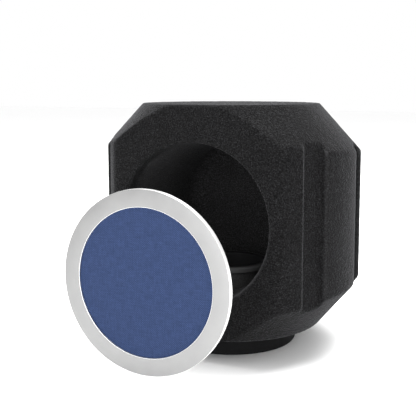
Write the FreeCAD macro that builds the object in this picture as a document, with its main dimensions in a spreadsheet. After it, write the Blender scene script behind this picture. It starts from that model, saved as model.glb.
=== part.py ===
"""Microphone isolation shield: a fluted foam shell with a round front opening, a microphone collar
that comes up through its neck, and a loose pop filter that slides into the opening.

Millimetres, +Z up, the opening faces -Y. The origin is the centre of the collar's mouth, in the
plane that the neck stands on. Every size comes from the Sizes sheet.
"""

import os

import FreeCAD
import Part
import Sketcher

SIZES = (
    ("total_height", 200.0, "plane under the neck to the flat top"),
    ("top_face_radius", 74.0, "flat round top of the foam"),
    ("top_slope", 1.12, "fall over run of the upper cone"),
    ("bottom_face_radius", 76.5, "flat round underside of the foam"),
    ("bottom_slope", 1.18, "rise over run of the lower cone"),
    ("rib_radius", 107.2, "outside of the ribs on the side"),
    ("front_rib_radius", 104.5, "outside of the front section, a little lower than the ribs"),
    ("flute_radius", 101.4, "floor of the flutes between the ribs"),
    ("side_offset", 5.0, "axis of the side behind the axis of the neck"),
    ("flute_angle", 10.2, "width of one flute"),
    ("first_flute", 58.9, "middle of the flute beside the front section, from the front"),
    ("second_flute", 95.6, "middle of the next flute, from the front"),
    ("flute_pitch", 33.76, "from one flute to the next behind that"),
    ("flutes_per_side", 4, "flutes on each side of the shell"),
    ("front_face", 73.0, "flat front, ahead of the neck's axis"),
    ("front_blend", 12.0, "blend from the flat front to the front section"),
    ("opening_radius", 62.6, "round opening and the cavity behind it"),
    ("opening_height", 108.0, "centre of the opening above the standing plane"),
    ("cavity_depth", 128.0, "front face to the back of the cavity"),
    ("cavity_blend", 14.0, "rounded end of the cavity"),
    ("lip_blend", 1.6, "soft edge of the opening"),
    ("neck_radius", 56.0, "outside of the neck"),
    ("neck_height", 18.0, "neck under the foam"),
    ("neck_blend", 2.5, "rounded bottom edge of the neck"),
    ("collar_bore_radius", 27.0, "hole that takes the microphone"),
    ("collar_radius", 31.5, "outside of the collar's tube"),
    ("collar_height", 66.0, "top of the collar inside the cavity"),
    ("bead_radius", 33.8, "bead round the top of the collar"),
    ("bead_height", 5.0, "bead, from its underside to the top"),
    ("collar_lead_in", 1.5, "chamfer at the top of the collar"),
    ("filter_radius", 61.2, "outside of the pop filter"),
    ("filter_bore_radius", 49.4, "clear hole of the pop filter"),
    ("filter_depth", 3.6, "pop filter, front to back"),
    ("face_thickness", 1.0, "front ring's flat face"),
    ("hoop_thickness", 0.8, "front ring's outer hoop"),
    ("lip_depth", 1.2, "front ring's inner lip, front to back"),
    ("lip_thickness", 0.8, "front ring's inner lip"),
    ("cloth_thickness", 0.2, "one layer of cloth"),
    ("spacer_thickness", 0.8, "ring between the two cloths"),
    ("rear_ring_thickness", 1.0, "ring behind the cloths"),
    ("hoop_clearance", 0.1, "inner rings inside the hoop"),
    ("filter_x", 16.5, "pop filter at rest, centre of its front face"),
    ("filter_y", -175.5, "pop filter at rest, centre of its front face"),
    ("filter_z", 87.6, "pop filter at rest, centre of its front face"),
)
LEAST_CUT = 1e-6
LEVEL_MATCH = 0.01
WIDTH_MATCH = 0.1


def make_sheet(doc):
    sheet = doc.addObject("Spreadsheet::Sheet", "Sizes")
    for row, (alias, value, meaning) in enumerate(SIZES, start=1):
        sheet.set(f"A{row}", alias)
        sheet.set(f"B{row}", str(value))
        sheet.setAlias(f"B{row}", alias)
        sheet.set(f"C{row}", meaning)
    doc.recompute()


def new_body(doc, name):
    body = doc.addObject("PartDesign::Body", name)
    body.Label = name
    return body


def origin_feature(body, role):
    return next(feature for feature in body.Origin.OriginFeatures if feature.Role == role)


def new_sketch(body, name, role):
    sketch = body.newObject("Sketcher::SketchObject", name)
    sketch.AttachmentSupport = (origin_feature(body, role), [""])
    sketch.MapMode = "FlatFace"
    return sketch


def number(sketch, expression):
    value = sketch.evalExpression(expression)
    return float(getattr(value, "Value", value))


def place_point(sketch, geometry, vertex, x, y):
    """Ties a point to the sketch's axes or to distances from its origin, given as expressions."""
    for kind, axis, expression in (("DistanceX", -2, x), ("DistanceY", -1, y)):
        if expression == "0":
            sketch.addConstraint(Sketcher.Constraint("PointOnObject", geometry, vertex, axis))
            continue
        distance = number(sketch, expression)
        index = sketch.addConstraint(Sketcher.Constraint(kind, -1, 1, geometry, vertex, distance))
        sketch.setExpression(f"Constraints[{index}]", expression)


def add_outline(sketch, points):
    """A closed outline of straight edges. points: (x, y) pairs of expressions."""
    corners = [FreeCAD.Vector(number(sketch, x), number(sketch, y), 0) for x, y in points]
    count = len(corners)
    edges = [
        sketch.addGeometry(Part.LineSegment(corners[i], corners[(i + 1) % count]), False)
        for i in range(count)
    ]
    for i in range(count):
        following = edges[(i + 1) % count]
        sketch.addConstraint(Sketcher.Constraint("Coincident", edges[i], 2, following, 1))
    for edge, (x, y) in zip(edges, points):
        place_point(sketch, edge, 1, x, y)


def add_circle(sketch, radius, x="0", y="0"):
    centre = FreeCAD.Vector(number(sketch, x), number(sketch, y), 0)
    axis = FreeCAD.Vector(0, 0, 1)
    circle = sketch.addGeometry(Part.Circle(centre, axis, number(sketch, radius)), False)
    index = sketch.addConstraint(Sketcher.Constraint("Radius", circle, number(sketch, radius)))
    sketch.setExpression(f"Constraints[{index}]", radius)
    place_point(sketch, circle, 3, x, y)


def new_pad(body, sketch, name, length):
    pad = body.newObject("PartDesign::Pad", name)
    pad.Profile = sketch
    pad.setExpression("Length", length)
    return pad


def new_pocket(body, sketch, name, length, upward=False):
    pocket = body.newObject("PartDesign::Pocket", name)
    pocket.Profile = sketch
    pocket.setExpression("Length", length)
    pocket.Reversed = upward
    return pocket


def turn(body, sketch, name, kind="Revolution", angle=None):
    """Turns a sketch about its own vertical axis: a Revolution adds, a Groove cuts."""
    feature = body.newObject(f"PartDesign::{kind}", name)
    feature.Profile = sketch
    feature.ReferenceAxis = (sketch, ["V_Axis"])
    if angle is None:
        feature.Angle = 360.0
    else:
        feature.Midplane = True
        feature.setExpression("Angle", angle)
    return feature


def must_cut(doc, body, base, feature):
    """Recomputes, and stops if a cutting feature left the solid as large as base was."""
    body.Tip = feature
    doc.recompute()
    if not feature.Shape.Volume < base.Shape.Volume - LEAST_CUT:
        raise RuntimeError(f"{feature.Name} cuts nothing")
    return feature


def side_profile(body, name, inner_radius, turned_by):
    """Upright rectangle from inner_radius out past the ribs, on a plane through the side's axis
    that is turned from the front by the expression turned_by."""
    sketch = new_sketch(body, name, "XY_Plane")
    upright = FreeCAD.Rotation(FreeCAD.Vector(1, 0, 0), 90)
    sketch.AttachmentOffset = FreeCAD.Placement(FreeCAD.Vector(0, 0, 0), upright)
    sketch.setExpression("AttachmentOffset.Base.y", "Sizes.side_offset")
    direction = f"create(<<rotation>>; create(<<vector>>; 0; 0; 1); {turned_by} - 90)"
    tilt = "create(<<rotation>>; create(<<vector>>; 1; 0; 0); 90)"
    sketch.setExpression("AttachmentOffset.Rotation", f"{direction} * {tilt}")
    outer = "Sizes.rib_radius + Sizes.side_offset"
    add_outline(
        sketch,
        (
            (inner_radius, "0"),
            (outer, "0"),
            (outer, "Sizes.total_height"),
            (inner_radius, "Sizes.total_height"),
        ),
    )
    return sketch


def edges_at(shape, test):
    return [f"Edge{i}" for i, edge in enumerate(shape.Edges, start=1) if test(edge)]


def new_fillet(body, base, name, edges, radius):
    if not edges:
        raise RuntimeError(f"{name} found no edges")
    fillet = body.newObject("PartDesign::Fillet", name)
    fillet.Base = (base, edges)
    fillet.setExpression("Radius", radius)
    body.Tip = fillet
    return fillet


def make_side(doc, body):
    """The fluted side's full round, and the front section that is a little lower."""
    circle = new_sketch(body, "SideCircle", "XY_Plane")
    circle.setExpression("AttachmentOffset.Base.z", "Sizes.neck_height")
    add_circle(circle, "Sizes.rib_radius", y="Sizes.side_offset")
    side = new_pad(body, circle, "Side", "Sizes.total_height - Sizes.neck_height")
    body.Tip = side
    doc.recompute()
    profile = side_profile(body, "FrontSectionProfile", "Sizes.front_rib_radius", "0")
    angle = "2 * Sizes.first_flute - Sizes.flute_angle"
    front_section = turn(body, profile, "FrontSection", "Groove", angle)
    return must_cut(doc, body, side, front_section)


def cut_front(doc, body, base):
    """The flat front and the blends from it to the front section."""
    flat = new_sketch(body, "FrontFaceOutline", "XZ_Plane")
    flat.setExpression("AttachmentOffset.Base.z", "Sizes.front_face")
    wide, tall = "Sizes.rib_radius", "Sizes.total_height"
    add_outline(flat, ((f"-{wide}", "0"), (wide, "0"), (wide, tall), (f"-{wide}", tall)))
    front = new_pocket(body, flat, "FrontFace", "Sizes.rib_radius", upward=True)
    must_cut(doc, body, base, front)
    front_y = -number(flat, "Sizes.front_face")

    def is_front_corner(edge):
        box = edge.BoundBox
        upright = box.XLength < LEVEL_MATCH and box.YLength < LEVEL_MATCH
        return upright and abs(box.YMin - front_y) < LEVEL_MATCH

    corners = edges_at(front.Shape, is_front_corner)
    blend = new_fillet(body, front, "FrontBlend", corners, "Sizes.front_blend")
    return must_cut(doc, body, front, blend)


def cut_flutes(doc, body, base):
    count = int(doc.Sizes.flutes_per_side)
    angles = ["Sizes.first_flute"]
    angles += [f"Sizes.second_flute + {i} * Sizes.flute_pitch" for i in range(count - 1)]
    for index, angle in enumerate(angles, start=1):
        for word, sign in (("Right", ""), ("Left", "-1 * ")):
            name = f"{word}Flute{index}"
            turned_by = f"{sign}({angle})"
            profile = side_profile(body, f"{name}Profile", "Sizes.flute_radius", turned_by)
            flute = turn(body, profile, name, "Groove", "Sizes.flute_angle")
            base = must_cut(doc, body, base, flute)
    return base


def cut_cones(doc, body, base):
    outer = "Sizes.rib_radius + 2 * Sizes.side_offset"
    cones = (
        ("TopCone", "Sizes.top_face_radius", "Sizes.total_height", "-Sizes.top_slope"),
        ("BottomCone", "Sizes.bottom_face_radius", "Sizes.neck_height", "+Sizes.bottom_slope"),
    )
    for name, radius, level, slope in cones:
        triangle = new_sketch(body, f"{name}Profile", "XZ_Plane")
        far_level = f"{level} {slope} * ({outer} - {radius})"
        add_outline(triangle, ((radius, level), (outer, level), (outer, far_level)))
        cone = turn(body, triangle, name, "Groove")
        base = must_cut(doc, body, base, cone)
    return base


def cut_cavity(doc, body, base):
    """The round opening with its soft lip, and the cavity with its rounded end."""
    mouth = new_sketch(body, "OpeningCircle", "XZ_Plane")
    mouth.setExpression("AttachmentOffset.Base.z", "Sizes.front_face")
    add_circle(mouth, "Sizes.opening_radius", y="Sizes.opening_height")
    cavity = new_pocket(body, mouth, "Cavity", "Sizes.cavity_depth")
    must_cut(doc, body, base, cavity)

    width = 2 * number(mouth, "Sizes.opening_radius")
    front_y = -number(mouth, "Sizes.front_face")
    back_y = front_y + number(mouth, "Sizes.cavity_depth")

    def is_round_edge(edge, level):
        box = edge.BoundBox
        at_level = box.YLength < LEVEL_MATCH and abs(box.YMin - level) < LEVEL_MATCH
        return at_level and abs(box.XLength - width) < WIDTH_MATCH

    back = edges_at(cavity.Shape, lambda edge: is_round_edge(edge, back_y))
    rounded = new_fillet(body, cavity, "CavityEnd", back, "Sizes.cavity_blend")
    doc.recompute()
    lip = edges_at(rounded.Shape, lambda edge: is_round_edge(edge, front_y))
    soft_lip = new_fillet(body, rounded, "OpeningLip", lip, "Sizes.lip_blend")
    doc.recompute()
    return soft_lip


def cut_collar_hole(doc, body, base):
    hole = new_sketch(body, "CollarHoleCircle", "XY_Plane")
    hole.setExpression("AttachmentOffset.Base.z", "Sizes.neck_height")
    add_circle(hole, "Sizes.collar_radius")
    depth = "Sizes.collar_height - Sizes.bead_height - Sizes.neck_height"
    collar_hole = new_pocket(body, hole, "CollarHole", depth, upward=True)
    return must_cut(doc, body, base, collar_hole)


def make_foam_shell(doc):
    body = new_body(doc, "foam_shell")
    side = make_side(doc, body)
    front = cut_front(doc, body, side)
    fluted = cut_flutes(doc, body, front)
    coned = cut_cones(doc, body, fluted)
    hollow = cut_cavity(doc, body, coned)
    cut_collar_hole(doc, body, hollow)
    return body


def make_neck_ring(doc):
    body = new_body(doc, "neck_ring")
    sketch = new_sketch(body, "NeckSection", "XY_Plane")
    add_circle(sketch, "Sizes.neck_radius")
    add_circle(sketch, "Sizes.collar_radius")
    pad = new_pad(body, sketch, "Neck", "Sizes.neck_height")
    body.Tip = pad
    doc.recompute()
    radius = number(sketch, "Sizes.neck_radius")

    def is_bottom_rim(edge):
        box = edge.BoundBox
        return box.ZMax < LEVEL_MATCH and abs(box.XLength - 2 * radius) < WIDTH_MATCH

    rim = edges_at(pad.Shape, is_bottom_rim)
    new_fillet(body, pad, "NeckRim", rim, "Sizes.neck_blend")
    return body


def make_mic_collar(doc):
    body = new_body(doc, "mic_collar")
    sketch = new_sketch(body, "CollarSection", "XZ_Plane")
    bore, tube, bead = "Sizes.collar_bore_radius", "Sizes.collar_radius", "Sizes.bead_radius"
    top, lead_in = "Sizes.collar_height", "Sizes.collar_lead_in"
    under_bead = f"{top} - Sizes.bead_height"
    add_outline(
        sketch,
        (
            (bore, "0"),
            (tube, "0"),
            (tube, under_bead),
            (bead, under_bead),
            (bead, f"{top} - {lead_in}"),
            (f"{bead} - {lead_in}", top),
            (f"{bore} + {lead_in}", top),
            (bore, f"{top} - {lead_in}"),
        ),
    )
    turn(body, sketch, "Collar")
    return body


def place_on_filter(body):
    """Moves a pop filter piece, made about the Y axis from its front face back, to its place."""
    for axis in "xyz":
        body.setExpression(f"Placement.Base.{axis}", f"Sizes.filter_{axis}")


def make_turned_filter_piece(doc, name, points):
    """Turns an outline of (radius, depth behind the front face) about the filter's axis."""
    body = new_body(doc, name)
    sketch = new_sketch(body, f"{name}_section", "XY_Plane")
    add_outline(sketch, points)
    turn(body, sketch, f"{name}_turned")
    place_on_filter(body)
    return body


def make_filter(doc):
    outside, bore = "Sizes.filter_radius", "Sizes.filter_bore_radius"
    face, depth = "Sizes.face_thickness", "Sizes.filter_depth"
    hoop_bore = f"{outside} - Sizes.hoop_thickness"
    lip_radius = f"{bore} + Sizes.lip_thickness"
    inner_radius = f"{hoop_bore} - Sizes.hoop_clearance"
    front_ring = make_turned_filter_piece(
        doc,
        "filter_front_ring",
        (
            (bore, "0"),
            (outside, "0"),
            (outside, depth),
            (hoop_bore, depth),
            (hoop_bore, face),
            (lip_radius, face),
            (lip_radius, "Sizes.lip_depth"),
            (bore, "Sizes.lip_depth"),
        ),
    )
    pieces = [front_ring]
    layers = (
        ("filter_front_cloth", "0", "Sizes.cloth_thickness"),
        ("filter_spacer_ring", bore, "Sizes.spacer_thickness"),
        ("filter_rear_cloth", "0", "Sizes.cloth_thickness"),
        ("filter_rear_ring", bore, "Sizes.rear_ring_thickness"),
    )
    near = "Sizes.lip_depth"
    for name, inner, thickness in layers:
        far = f"{near} + {thickness}"
        outline = ((inner, near), (inner_radius, near), (inner_radius, far), (inner, far))
        pieces.append(make_turned_filter_piece(doc, name, outline))
        near = far
    return pieces


def check_document(doc, bodies):
    doc.recompute()
    for item in doc.Objects:
        if "Invalid" in item.State or "Error" in item.State:
            raise RuntimeError(f"{item.Name} failed: {item.State}")
    for body in bodies:
        shape = body.Shape
        if shape.isNull() or not shape.isValid() or len(shape.Solids) != 1:
            raise RuntimeError(f"{body.Label} isn't one valid solid")


def main():
    doc = FreeCAD.newDocument("MicrophoneShield")
    make_sheet(doc)
    bodies = [make_foam_shell(doc), make_neck_ring(doc), make_mic_collar(doc)]
    bodies += make_filter(doc)
    check_document(doc, bodies)
    os.makedirs("parts", exist_ok=True)
    for body in bodies:
        body.Shape.exportStep(f"parts/{body.Label}.step")
        box = body.Shape.BoundBox
        print(f"{body.Label}: volume {body.Shape.Volume / 1000:.2f} cm3, box {box}")


main()
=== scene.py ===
"""Looks of the microphone isolation shield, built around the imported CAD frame.

Metres, +Z up, the opening faces -Y. The foam shell, neck, collar, filter rings and filter cloths
get a detailed piece each, in the place of their CAD node. Only the filter's spacer keeps its CAD
mesh. Sizes come from the frame or from the named values below.
"""

import math

import bmesh
import bpy
import numpy as np
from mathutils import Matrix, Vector


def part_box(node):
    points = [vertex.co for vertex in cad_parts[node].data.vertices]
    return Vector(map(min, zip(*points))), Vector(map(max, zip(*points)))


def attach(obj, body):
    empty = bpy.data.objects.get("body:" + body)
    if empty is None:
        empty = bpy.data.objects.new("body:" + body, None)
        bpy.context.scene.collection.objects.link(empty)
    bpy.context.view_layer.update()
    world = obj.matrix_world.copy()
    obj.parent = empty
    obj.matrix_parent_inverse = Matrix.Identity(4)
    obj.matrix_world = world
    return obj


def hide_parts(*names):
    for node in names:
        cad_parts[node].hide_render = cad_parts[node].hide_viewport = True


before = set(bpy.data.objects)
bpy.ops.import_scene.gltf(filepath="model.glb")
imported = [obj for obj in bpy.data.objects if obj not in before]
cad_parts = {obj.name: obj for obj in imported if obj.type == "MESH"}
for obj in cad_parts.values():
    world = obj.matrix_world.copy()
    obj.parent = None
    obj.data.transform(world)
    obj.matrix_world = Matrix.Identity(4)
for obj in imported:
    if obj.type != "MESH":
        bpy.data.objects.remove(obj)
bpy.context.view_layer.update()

MM = 0.001

FOAM_VOXEL = 1.85 * MM
FOAM_SMOOTHING = 1
FOAM_LUMP_SIZE = 5.0 * MM
FOAM_LUMP_HEIGHT = 0.35 * MM
FOAM_PORE = 1.3 * MM
FOAM_SHEEN = 0.14
CAVITY_SHEEN = 0.02
WEAR_AND_HIGHLIGHT_FROM = 0.22 * MM
WEAR_AND_HIGHLIGHT_FULLY = 0.48 * MM
EDGE_SPREAD = 2.2
FRONT_FACE = 73.0 * MM
OPENING_RADIUS = 62.6 * MM
OPENING_HEIGHT = 108.0 * MM
CAVITY_MARGIN = 1.5 * MM
CAVITY_LIGHT_DEPTH = 7.0 * MM

TURN_STEPS = 192
CORNER_STEPS = 5

COLLAR_BORE = 27.0 * MM
COLLAR_TUBE = 31.5 * MM
COLLAR_BEAD_HEIGHT = 5.0 * MM
PALE_BEAD_FROM = 1.5 * MM
DARK_BORE_WITHIN = 1.0 * MM

FILTER_BORE = 49.4 * MM
FACE_THICKNESS = 1.0 * MM
HOOP_THICKNESS = 0.8 * MM
LIP_THICKNESS = 0.8 * MM
LIP_DEPTH = 1.2 * MM
RING_EDGE = 0.25 * MM
OUTER_RIM_HIGHLIGHT = 0.12 * MM
THREAD_PITCH = 0.62 * MM
MESH_PITCH = 0.9 * MM

CAMERA_LENS = 65.75
CAMERA_SHIFT = -0.10
CAMERA_AZIMUTH = 23.95
CAMERA_DISTANCE = 0.6436
CAMERA_HEIGHT = 0.2134
CAMERA_HEADING = 25.68
CAMERA_PITCH = 5.98


# Shader nodes


def new_material(name):
    material = bpy.data.materials.new(name)
    material.use_nodes = True
    nodes = material.node_tree.nodes
    nodes.clear()
    shader = nodes.new("ShaderNodeBsdfPrincipled")
    output = nodes.new("ShaderNodeOutputMaterial")
    material.node_tree.links.new(shader.outputs["BSDF"], output.inputs["Surface"])
    return material, shader


class Graph:
    """Adds nodes to a material and links them. A value given for a socket is a number or colour,
    or another node's output."""

    def __init__(self, material):
        self.tree = material.node_tree

    def add(self, kind, inputs=None, **settings):
        node = self.tree.nodes.new(kind)
        for name, value in settings.items():
            setattr(node, name, value)
        for name, value in (inputs or {}).items():
            self.put(value, node.inputs[name])
        return node

    def put(self, value, socket):
        if isinstance(value, bpy.types.NodeSocket):
            self.tree.links.new(value, socket)
        else:
            socket.default_value = value

    def place(self):
        return self.add("ShaderNodeTexCoord").outputs["Object"]

    def math(self, operation, *values):
        node = self.add("ShaderNodeMath", operation=operation)
        for socket, value in zip(node.inputs, values):
            self.put(value, socket)
        return node.outputs["Value"]

    def noise(self, place, size, detail=2.0, roughness=0.5):
        inputs = {"Vector": place, "Scale": 1 / size, "Detail": detail, "Roughness": roughness}
        return self.add("ShaderNodeTexNoise", inputs).outputs["Fac"]

    def ramp(self, value, stops):
        """stops: (position, brightness or colour)."""
        node = self.add("ShaderNodeValToRGB", {"Fac": value})
        elements = node.color_ramp.elements
        while len(elements) < len(stops):
            elements.new(0.5)
        for element, (position, colour) in zip(elements, stops):
            element.position = position
            element.color = colour if len(colour) == 4 else (*colour, 1)
        return node.outputs["Color"]

    def mix(self, amount, first, second, blend="MIX"):
        node = self.add("ShaderNodeMix", data_type="RGBA", blend_type=blend)
        self.put(amount, node.inputs["Factor"])
        self.put(first, node.inputs[6])
        self.put(second, node.inputs[7])
        return node.outputs[2]

    def bump(self, height, distance, strength=1.0, normal=None):
        inputs = {"Height": height, "Distance": distance, "Strength": strength}
        if normal is not None:
            inputs["Normal"] = normal
        return self.add("ShaderNodeBump", inputs).outputs["Normal"]


def foam_material():
    """Open-cell foam: dark cells, paler struts between them, some of which catch the light."""
    material, shader = new_material("open_cell_foam")
    graph = Graph(material)
    place = graph.place()
    cells = graph.add(
        "ShaderNodeTexVoronoi",
        {"Vector": place, "Scale": 1 / FOAM_PORE, "Randomness": 1.0},
    )
    grain = graph.noise(place, 0.9 * MM, detail=3.0, roughness=0.7)
    broad = graph.noise(place, 28 * MM, detail=2.0)
    strut = graph.ramp(cells.outputs["Distance"], ((0.2, (0.001,) * 3), (0.8, (0.009,) * 3)))
    sparkle = graph.ramp(grain, ((0.50, (0, 0, 0)), (0.74, (0.030, 0.030, 0.033))))
    colour = graph.mix(1.0, strut, sparkle, "ADD")
    shade = graph.ramp(broad, ((0.3, (0.86,) * 3), (0.7, (1.1,) * 3)))
    colour = graph.mix(1.0, colour, shade, "MULTIPLY")
    # Pale edge colour: partly edge wear, partly a painted highlight where light catches the edges.
    wear_and_highlight = graph.add("ShaderNodeAttribute", attribute_name="wear_and_highlight").outputs["Fac"]
    colour = graph.mix(wear_and_highlight, colour, (0.048, 0.048, 0.050, 1))
    graph.put(colour, shader.inputs["Base Color"])
    inside = graph.add("ShaderNodeAttribute", attribute_name="inside").outputs["Fac"]
    fuzz = graph.math("MULTIPLY_ADD", inside, CAVITY_SHEEN - FOAM_SHEEN, FOAM_SHEEN)
    graph.put(fuzz, shader.inputs["Sheen Weight"])
    shader.inputs["Roughness"].default_value = 0.95
    shader.inputs["Specular IOR Level"].default_value = 0.08
    shader.inputs["Sheen Roughness"].default_value = 0.26
    shader.inputs["Sheen Tint"].default_value = (0.9, 0.9, 0.95, 1)
    pores = graph.bump(cells.outputs["Distance"], 0.45 * MM, 0.9)
    graph.put(graph.bump(grain, 0.35 * MM, 0.8, pores), shader.inputs["Normal"])
    return material


def neck_material():
    """Closed-cell foam: a smooth dark skin with fine specks."""
    material, shader = new_material("closed_cell_foam")
    graph = Graph(material)
    place = graph.place()
    specks = graph.noise(place, 0.5 * MM, detail=4.0, roughness=0.6)
    waves = graph.noise(place, 12 * MM, detail=2.0)
    colour = graph.ramp(specks, ((0.35, (0.005,) * 3), (0.75, (0.012, 0.012, 0.013))))
    graph.put(colour, shader.inputs["Base Color"])
    roughness = graph.ramp(waves, ((0.3, (0.7,) * 3), (0.7, (0.86,) * 3)))
    graph.put(roughness, shader.inputs["Roughness"])
    shader.inputs["Specular IOR Level"].default_value = 0.1
    skin = graph.bump(specks, 0.08 * MM, 0.6)
    graph.put(graph.bump(waves, 0.4 * MM, 0.5, skin), shader.inputs["Normal"])
    return material


def axis_distance(graph, first, second):
    """Distance from the local axis that is square to the two axes named."""
    split = graph.add("ShaderNodeSeparateXYZ", {"Vector": graph.place()})
    u, v = split.outputs[first], split.outputs[second]
    squares = graph.math("ADD", graph.math("MULTIPLY", u, u), graph.math("MULTIPLY", v, v))
    return graph.math("SQRT", squares)


def rubber_material():
    """Dull rubber with a cast grain, paler on the bead's outside, and almost black in the bore as
    painted shade.
    """
    material, shader = new_material("dull_rubber")
    graph = Graph(material)
    place = graph.place()
    grain = graph.noise(place, 1.0 * MM, detail=3.0, roughness=0.7)
    smears = graph.noise(place, 9 * MM, detail=4.0, roughness=0.6)
    radius = axis_distance(graph, "X", "Y")
    on_bead = graph.math("GREATER_THAN", radius, COLLAR_TUBE + PALE_BEAD_FROM)
    in_bore = graph.math("LESS_THAN", radius, COLLAR_TUBE - DARK_BORE_WITHIN)
    cast = graph.ramp(grain, ((0.35, (0.012,) * 3), (0.7, (0.030, 0.030, 0.031))))
    bead_tone = graph.ramp(smears, ((0.3, (0.027,) * 3), (0.7, (0.033, 0.033, 0.034))))
    colour = graph.mix(on_bead, cast, bead_tone)
    # Painted shade: the bore is coloured almost black.
    colour = graph.mix(in_bore, colour, (0.0038, 0.0038, 0.0042, 1))
    graph.put(colour, shader.inputs["Base Color"])
    roughness = graph.ramp(smears, ((0.3, (0.6,) * 3), (0.7, (0.75,) * 3)))
    graph.put(roughness, shader.inputs["Roughness"])
    shader.inputs["Specular IOR Level"].default_value = 0.09
    graph.put(graph.bump(grain, 0.06 * MM, 0.6), shader.inputs["Normal"])
    return material


def around_axis(graph):
    """Radius from the local Y axis, and a coordinate that changes across turned marks only."""
    radius = axis_distance(graph, "X", "Z")
    depth = graph.add("ShaderNodeSeparateXYZ", {"Vector": graph.place()}).outputs["Y"]
    turned = graph.add("ShaderNodeCombineXYZ", {"X": radius, "Y": depth, "Z": 0.0})
    return radius, turned.outputs["Vector"]


def ring_material(outer_radius):
    """Satin aluminium with fine turned marks, faint smudges and painted highlights on the inner
    and outer rim walls.
    """
    material, shader = new_material("satin_aluminium")
    graph = Graph(material)
    radius, turned = around_axis(graph)
    place = graph.place()
    marks = graph.noise(turned, 0.12 * MM, detail=3.0, roughness=0.7)
    blasting = graph.noise(place, 0.25 * MM, detail=2.0)
    smudges = graph.noise(place, 14 * MM, detail=4.0, roughness=0.55)
    metal = graph.ramp(smudges, ((0.3, (0.27, 0.27, 0.27)), (0.7, (0.295, 0.295, 0.293))))
    tint = graph.ramp(marks, ((0.3, (0.95,) * 3), (0.7, (1.03,) * 3)))
    metal = graph.mix(1.0, metal, tint, "MULTIPLY")
    # Painted highlight: the inner and outer rim walls get a much paler metal colour, standing in
    # for light caught on them.
    inner_wall = graph.math("LESS_THAN", radius, FILTER_BORE + RING_EDGE)
    outer_wall = graph.math("GREATER_THAN", radius, outer_radius - OUTER_RIM_HIGHLIGHT)
    rim_highlight = graph.math("ADD", inner_wall, outer_wall)
    metal = graph.mix(rim_highlight, metal, (0.85, 0.85, 0.85, 1))
    graph.put(metal, shader.inputs["Base Color"])
    shader.inputs["Metallic"].default_value = 1.0
    roughness = graph.ramp(smudges, ((0.25, (0.34,) * 3), (0.75, (0.44,) * 3)))
    graph.put(roughness, shader.inputs["Roughness"])
    blasted = graph.bump(blasting, 0.012 * MM, 0.5)
    graph.put(graph.bump(marks, 0.010 * MM, 0.5, blasted), shader.inputs["Normal"])
    return material


def weave(graph, pitch):
    """Height of a plain weave in the X-Z plane, and 0 or 1 for which thread is on top."""
    split = graph.add("ShaderNodeSeparateXYZ", {"Vector": graph.place()})
    turns = math.pi / pitch
    across = graph.math("SINE", graph.math("MULTIPLY", split.outputs["X"], turns))
    along = graph.math("SINE", graph.math("MULTIPLY", split.outputs["Z"], turns))
    warp = graph.math("ABSOLUTE", across)
    weft = graph.math("ABSOLUTE", along)
    over = graph.math("GREATER_THAN", graph.math("MULTIPLY", across, along), 0.0)
    first = graph.math("MULTIPLY", warp, over)
    second = graph.math("MULTIPLY", weft, graph.math("SUBTRACT", 1.0, over))
    return graph.math("ADD", first, second), over


def stretched(graph, size, along):
    """Noise drawn out into streaks along X or Z, like uneven thread."""
    thin, long = size, 8 * size
    scale = (1 / long, 1.0, 1 / thin) if along == "X" else (1 / thin, 1.0, 1 / long)
    mapping = graph.add("ShaderNodeMapping", {"Vector": graph.place(), "Scale": scale})
    inputs = {"Vector": mapping.outputs["Vector"], "Scale": 1.0, "Detail": 2.0}
    return graph.add("ShaderNodeTexNoise", inputs).outputs["Fac"]


def front_cloth_material():
    """Blue polyester in a fine plain weave, with slightly uneven threads."""
    material, shader = new_material("blue_woven_cloth")
    graph = Graph(material)
    height, over = weave(graph, THREAD_PITCH)
    warp_colour = (0.0138, 0.0265, 0.070, 1)
    weft_colour = (0.036, 0.056, 0.130, 1)
    colour = graph.mix(over, warp_colour, weft_colour)
    # Painted shade: the weave is darker in the hollows between the threads.
    depth = graph.ramp(height, ((0.0, (0.55,) * 3), (0.7, (1.05,) * 3)))
    colour = graph.mix(1.0, colour, depth, "MULTIPLY")
    for along in "XZ":
        streaks = stretched(graph, 0.9 * MM, along)
        uneven = graph.ramp(streaks, ((0.3, (0.88,) * 3), (0.7, (1.12,) * 3)))
        colour = graph.mix(1.0, colour, uneven, "MULTIPLY")
    graph.put(colour, shader.inputs["Base Color"])
    shader.inputs["Roughness"].default_value = 0.85
    shader.inputs["Specular IOR Level"].default_value = 0.1
    shader.inputs["Sheen Weight"].default_value = 0.03
    shader.inputs["Sheen Roughness"].default_value = 0.5
    shader.inputs["Sheen Tint"].default_value = (0.6, 0.7, 1.0, 1)
    graph.put(graph.bump(height, 0.12 * MM, 0.7), shader.inputs["Normal"])
    return material


def rear_cloth_material():
    """Black nylon net, coarser than the front cloth."""
    material, shader = new_material("black_nylon_net")
    graph = Graph(material)
    height, over = weave(graph, MESH_PITCH)
    colour = graph.mix(over, (0.016, 0.016, 0.018, 1), (0.026, 0.026, 0.029, 1))
    holes = graph.ramp(height, ((0.15, (0.25,) * 3), (0.6, (1.0,) * 3)))
    graph.put(graph.mix(1.0, colour, holes, "MULTIPLY"), shader.inputs["Base Color"])
    shader.inputs["Roughness"].default_value = 0.7
    shader.inputs["Specular IOR Level"].default_value = 0.15
    graph.put(graph.bump(height, 0.25 * MM, 0.9), shader.inputs["Normal"])
    return material


def plastic_material():
    """Moulded black plastic with a fine grain."""
    material, shader = new_material("moulded_plastic")
    graph = Graph(material)
    grain = graph.noise(graph.place(), 0.3 * MM, detail=2.0)
    colour = graph.ramp(grain, ((0.3, (0.016,) * 3), (0.7, (0.024,) * 3)))
    graph.put(colour, shader.inputs["Base Color"])
    shader.inputs["Roughness"].default_value = 0.5
    graph.put(graph.bump(grain, 0.03 * MM, 0.5), shader.inputs["Normal"])
    return material


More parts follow.
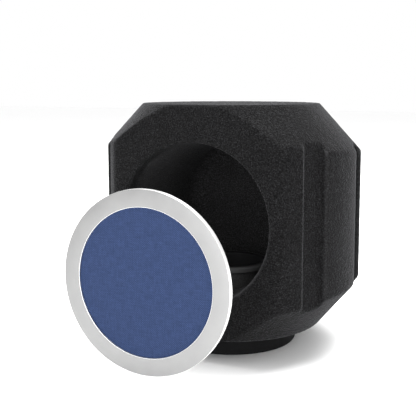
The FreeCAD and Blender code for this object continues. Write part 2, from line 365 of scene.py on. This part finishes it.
def floor_material():
    material, shader = new_material("pale_floor")
    graph = Graph(material)
    mottle = graph.noise(graph.place(), 0.25, detail=3.0)
    colour = graph.ramp(mottle, ((0.3, (0.97,) * 3), (0.7, (0.98,) * 3)))
    graph.put(colour, shader.inputs["Base Color"])
    shader.inputs["Roughness"].default_value = 0.8
    return material


# Mesh pieces


def add_piece(name, mesh, material, smooth=True):
    mesh.materials.clear()
    mesh.materials.append(material)
    mesh.polygons.foreach_set("use_smooth", [smooth] * len(mesh.polygons))
    piece = bpy.data.objects.new(name, mesh)
    bpy.context.scene.collection.objects.link(piece)
    return piece


def bake(piece):
    """Works the piece's modifiers into its mesh."""
    graph = bpy.context.evaluated_depsgraph_get()
    graph.update()
    mesh = bpy.data.meshes.new_from_object(piece.evaluated_get(graph))
    piece.modifiers.clear()
    piece.data = mesh


def softened_copy(node, name, material, voxel, smoothing):
    """A CAD solid's mesh in small even faces, with its sharp edges rubbed round."""
    piece = add_piece(name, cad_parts[node].data.copy(), material)
    remesh = piece.modifiers.new("remesh", "REMESH")
    remesh.mode = "VOXEL"
    remesh.voxel_size = voxel
    remesh.use_smooth_shade = True
    smooth = piece.modifiers.new("smooth", "SMOOTH")
    smooth.factor = 0.5
    smooth.iterations = smoothing
    bake(piece)
    return piece


def roughen(piece, size, height):
    lumps = bpy.data.textures.new(f"{piece.name}_lumps", "CLOUDS")
    lumps.noise_scale = size
    lumps.noise_depth = 2
    displace = piece.modifiers.new("lumps", "DISPLACE")
    displace.texture = lumps
    displace.texture_coords = "LOCAL"
    displace.strength = height
    displace.mid_level = 0.5
    bake(piece)


def vertex_vectors(collection, name):
    """One row of x, y, z per vertex."""
    values = np.zeros(len(collection) * 3)
    collection.foreach_get(name, values)
    return values.reshape(-1, 3)


def store(mesh, name, values):
    attribute = mesh.attributes.new(name, "FLOAT", "POINT")
    attribute.data.foreach_set("value", values.astype(np.float32))


def mark_edge_wear_and_highlight(piece):
    """Stores a mask of edge wear and painted highlight: 0 where the foam is flat, up to 1 at and
    beside a sharp outward edge. Edges that face down get less of the painted highlight, and the
    opening's lip, which gets painted highlight only, gets most where it faces up."""
    mesh = piece.data
    places = vertex_vectors(mesh.vertices, "co")
    normals = vertex_vectors(mesh.vertex_normals, "vector")
    ends = np.zeros(len(mesh.edges) * 2, int)
    mesh.edges.foreach_get("vertices", ends)
    ends = ends.reshape(-1, 2)
    neighbours = np.bincount(ends.ravel(), minlength=len(places))

    def neighbour_mean(values):
        total = np.zeros_like(values)
        np.add.at(total, ends[:, 0], values[ends[:, 1]])
        np.add.at(total, ends[:, 1], values[ends[:, 0]])
        share = neighbours if values.ndim == 1 else neighbours[:, None]
        return total / np.maximum(share, 1)

    bend = ((places - neighbour_mean(places)) * normals).sum(1)
    wear_and_highlight = np.clip((bend - WEAR_AND_HIGHLIGHT_FROM) / (WEAR_AND_HIGHLIGHT_FULLY - WEAR_AND_HIGHLIGHT_FROM), 0, 1)
    upward = normals[:, 2]
    # Painted highlight: edges facing up are kept paler than edges facing down.
    wear_and_highlight *= np.clip(0.45 + 1.2 * upward, 0, 1)
    wear_and_highlight = np.clip(np.maximum(wear_and_highlight, EDGE_SPREAD * neighbour_mean(wear_and_highlight)), 0, 1)
    x, y, z = places.T
    # The opening's lip gets painted highlight only, strongest where the lip faces up.
    on_lip = np.abs(np.hypot(x, z - OPENING_HEIGHT) - OPENING_RADIUS) < CAVITY_MARGIN
    on_lip &= y < CAVITY_MARGIN - FRONT_FACE
    wear_and_highlight = np.where(on_lip, np.clip(0.2 + 1.6 * upward, 0, 1), wear_and_highlight)
    store(mesh, "wear_and_highlight", wear_and_highlight)


def mark_cavity(piece):
    """Stores 1 at the vertices inside the cavity and 0 on the outside."""
    mesh = piece.data
    x, y, z = vertex_vectors(mesh.vertices, "co").T
    near_axis = np.hypot(x, z - OPENING_HEIGHT) < OPENING_RADIUS + CAVITY_MARGIN
    behind_lip = y > CAVITY_MARGIN - FRONT_FACE
    inside = near_axis & behind_lip
    store(mesh, "inside", inside)


def rounded(corners):
    """An outline with its corners rounded. corners: (x, y, radius), in order round the outline."""
    outline = []
    count = len(corners)
    for index, (x, y, radius) in enumerate(corners):
        corner = Vector((x, y))
        if radius == 0:
            outline.append(corner)
            continue
        before = (Vector(corners[index - 1][:2]) - corner).normalized()
        after = (Vector(corners[(index + 1) % count][:2]) - corner).normalized()
        half_angle = before.angle(after) / 2
        setback = radius / math.tan(half_angle)
        start, end = corner + before * setback, corner + after * setback
        for step in range(CORNER_STEPS + 1):
            share = step / CORNER_STEPS
            first = start.lerp(corner, share)
            second = corner.lerp(end, share)
            outline.append(first.lerp(second, share))
    return outline


def turned(name, corners, material, axis="Z"):
    """Turns an outline of (radius, height, corner radius) about the local Z or Y axis."""
    outline = rounded(corners)
    mesh = bpy.data.meshes.new(name)
    shape = bmesh.new()
    rings = []
    for step in range(TURN_STEPS):
        angle = 2 * math.pi * step / TURN_STEPS
        c, s = math.cos(angle), math.sin(angle)
        if axis == "Z":
            ring = [shape.verts.new((p.x * c, p.x * s, p.y)) for p in outline]
        else:
            ring = [shape.verts.new((p.x * s, p.y, p.x * c)) for p in outline]
        rings.append(ring)
    count = len(outline)
    for step in range(TURN_STEPS):
        here, there = rings[step], rings[(step + 1) % TURN_STEPS]
        for i in range(count):
            j = (i + 1) % count
            shape.faces.new((here[i], there[i], there[j], here[j]))
    bmesh.ops.recalc_face_normals(shape, faces=shape.faces)
    shape.to_mesh(mesh)
    shape.free()
    return add_piece(name, mesh, material)


def finish_piece(piece, node, body):
    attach(piece, body)
    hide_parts(node)


def make_foam_shell():
    foam = foam_material()
    piece = softened_copy("foam_shell", "foam_block", foam, FOAM_VOXEL, FOAM_SMOOTHING)
    mark_edge_wear_and_highlight(piece)
    mark_cavity(piece)
    roughen(piece, FOAM_LUMP_SIZE, FOAM_LUMP_HEIGHT)
    finish_piece(piece, "foam_shell", "shield")


def make_neck():
    low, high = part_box("neck_ring")
    radius = (high.x - low.x) / 2
    corners = (
        (COLLAR_TUBE, low.z, 0.5 * MM),
        (radius, low.z, 2.5 * MM),
        (radius, high.z, 0),
        (COLLAR_TUBE, high.z, 0),
    )
    piece = turned("neck_foam", corners, neck_material())
    finish_piece(piece, "neck_ring", "shield")


def make_collar():
    low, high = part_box("mic_collar")
    bead = (high.x - low.x) / 2
    under_bead = high.z - COLLAR_BEAD_HEIGHT
    corners = (
        (COLLAR_BORE, low.z, 1.5 * MM),
        (COLLAR_TUBE, low.z, 0.4 * MM),
        (COLLAR_TUBE, under_bead, 0.4 * MM),
        (bead, under_bead, 1.2 * MM),
        (bead, high.z, 2.2 * MM),
        (COLLAR_BORE, high.z, 1.8 * MM),
    )
    piece = turned("collar_rubber", corners, rubber_material())
    finish_piece(piece, "mic_collar", "shield")


def filter_place():
    """Centre of the pop filter's front face, its outer radius and its depth."""
    low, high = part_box("filter_front_ring")
    centre = Vector(((low.x + high.x) / 2, low.y, (low.z + high.z) / 2))
    return centre, (high.x - low.x) / 2, high.y - low.y


def make_front_ring(metal):
    centre, radius, depth = filter_place()
    hoop = radius - HOOP_THICKNESS
    lip = FILTER_BORE + LIP_THICKNESS
    corners = (
        (FILTER_BORE, 0, RING_EDGE),
        (radius, 0, RING_EDGE),
        (radius, depth, RING_EDGE),
        (hoop, depth, RING_EDGE),
        (hoop, FACE_THICKNESS, 0),
        (lip, FACE_THICKNESS, 0),
        (lip, LIP_DEPTH, 0),
        (FILTER_BORE, LIP_DEPTH, 0),
    )
    piece = turned("filter_face_ring", corners, metal, axis="Y")
    piece.location = centre
    finish_piece(piece, "filter_front_ring", "pop_filter")


def make_rear_ring(metal):
    centre, _, _ = filter_place()
    low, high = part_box("filter_rear_ring")
    radius = (high.x - low.x) / 2
    near, far = low.y - centre.y, high.y - centre.y
    corners = (
        (FILTER_BORE, near, RING_EDGE),
        (radius, near, RING_EDGE),
        (radius, far, RING_EDGE),
        (FILTER_BORE, far, RING_EDGE),
    )
    piece = turned("filter_back_ring", corners, metal, axis="Y")
    piece.location = centre
    finish_piece(piece, "filter_rear_ring", "pop_filter")


def make_cloth(node, name, material, sag):
    """A round stretched cloth. Inside the rings it sags by sag, with faint waves near the rim."""
    low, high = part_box(node)
    centre, _, _ = filter_place()
    radius = (high.x - low.x) / 2
    thickness = high.y - low.y
    middle = (low.y + high.y) / 2 - centre.y
    rings = 60
    mesh = bpy.data.meshes.new(name)
    shape = bmesh.new()
    hub = shape.verts.new((0, middle + sag, 0))
    rows = []
    for ring in range(1, rings + 1):
        r = radius * ring / rings
        free = max(0.0, 1 - (r / FILTER_BORE) ** 2)
        row = []
        for step in range(TURN_STEPS):
            angle = 2 * math.pi * step / TURN_STEPS
            wave = math.sin(9 * angle + 0.7) + 0.6 * math.sin(14 * angle + 2.1)
            y = middle + sag * free + 0.12 * sag * wave * free * (r / FILTER_BORE) ** 3
            row.append(shape.verts.new((r * math.sin(angle), y, r * math.cos(angle))))
        rows.append(row)
    for step in range(TURN_STEPS):
        following = (step + 1) % TURN_STEPS
        shape.faces.new((hub, rows[0][following], rows[0][step]))
        for inner, outer in zip(rows, rows[1:]):
            shape.faces.new((inner[step], inner[following], outer[following], outer[step]))
    bmesh.ops.recalc_face_normals(shape, faces=shape.faces)
    shape.to_mesh(mesh)
    shape.free()
    piece = add_piece(name, mesh, material)
    solidify = piece.modifiers.new("thickness", "SOLIDIFY")
    solidify.thickness = thickness * 0.9
    solidify.offset = 0
    bake(piece)
    piece.location = centre
    finish_piece(piece, node, "pop_filter")


def make_filter():
    _, outer_radius, _ = filter_place()
    metal = ring_material(outer_radius)
    make_front_ring(metal)
    make_rear_ring(metal)
    front_cloth, rear_cloth = front_cloth_material(), rear_cloth_material()
    make_cloth("filter_front_cloth", "front_cloth", front_cloth, 0.3 * MM)
    make_cloth("filter_rear_cloth", "rear_cloth", rear_cloth, -0.2 * MM)
    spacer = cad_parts["filter_spacer_ring"]
    spacer.data.materials.clear()
    spacer.data.materials.append(plastic_material())


# Stage, light and camera


def make_stage():
    mesh = bpy.data.meshes.new("studio_floor")
    half = 6.0
    corners = [(-half, -half, 0), (half, -half, 0), (half, half, 0), (-half, half, 0)]
    mesh.from_pydata(corners, [], [(0, 1, 2, 3)])
    floor = add_piece("studio_floor", mesh, floor_material(), smooth=False)
    floor.location.z = -0.2 * MM


def add_light(name, place, aim, size, power):
    light = bpy.data.lights.new(name, "AREA")
    light.shape = "RECTANGLE"
    light.size, light.size_y = size
    light.energy = power
    lamp = bpy.data.objects.new(name, light)
    lamp.location = place
    lamp.rotation_euler = (Vector(aim) - Vector(place)).to_track_quat("-Z", "Y").to_euler()
    bpy.context.scene.collection.objects.link(lamp)


def make_light():
    world = bpy.data.worlds.new("studio")
    world.use_nodes = True
    background = world.node_tree.nodes["Background"]
    background.inputs["Color"].default_value = (1.0, 1.0, 1.0, 1)
    background.inputs["Strength"].default_value = 1.0
    bpy.context.scene.world = world
    middle = (0, -0.05, 0.1)
    add_light("front", (0.15, -1.4, 0.25), middle, (0.8, 0.8), 15)
    add_light("top", (0.2, 0.4, 1.6), middle, (1.2, 1.2), 56)
    just_inside = (0, CAVITY_LIGHT_DEPTH - FRONT_FACE, OPENING_HEIGHT)
    add_light("cavity_fill", just_inside, (0, 0.05, 0.1), (0.09, 0.09), 0.068)


def make_camera():
    data = bpy.data.cameras.new("camera")
    data.lens = CAMERA_LENS
    data.shift_y = CAMERA_SHIFT
    camera = bpy.data.objects.new("camera", data)
    azimuth = math.radians(CAMERA_AZIMUTH)
    reach = CAMERA_DISTANCE
    camera.location = (reach * math.sin(azimuth), -reach * math.cos(azimuth), CAMERA_HEIGHT)
    camera.rotation_euler = (math.radians(90 - CAMERA_PITCH), 0, math.radians(CAMERA_HEADING))
    bpy.context.scene.collection.objects.link(camera)
    bpy.context.scene.camera = camera


bpy.context.scene.view_settings.view_transform = "Standard"
make_foam_shell()
make_neck()
make_collar()
make_filter()
make_stage()
make_light()
make_camera()
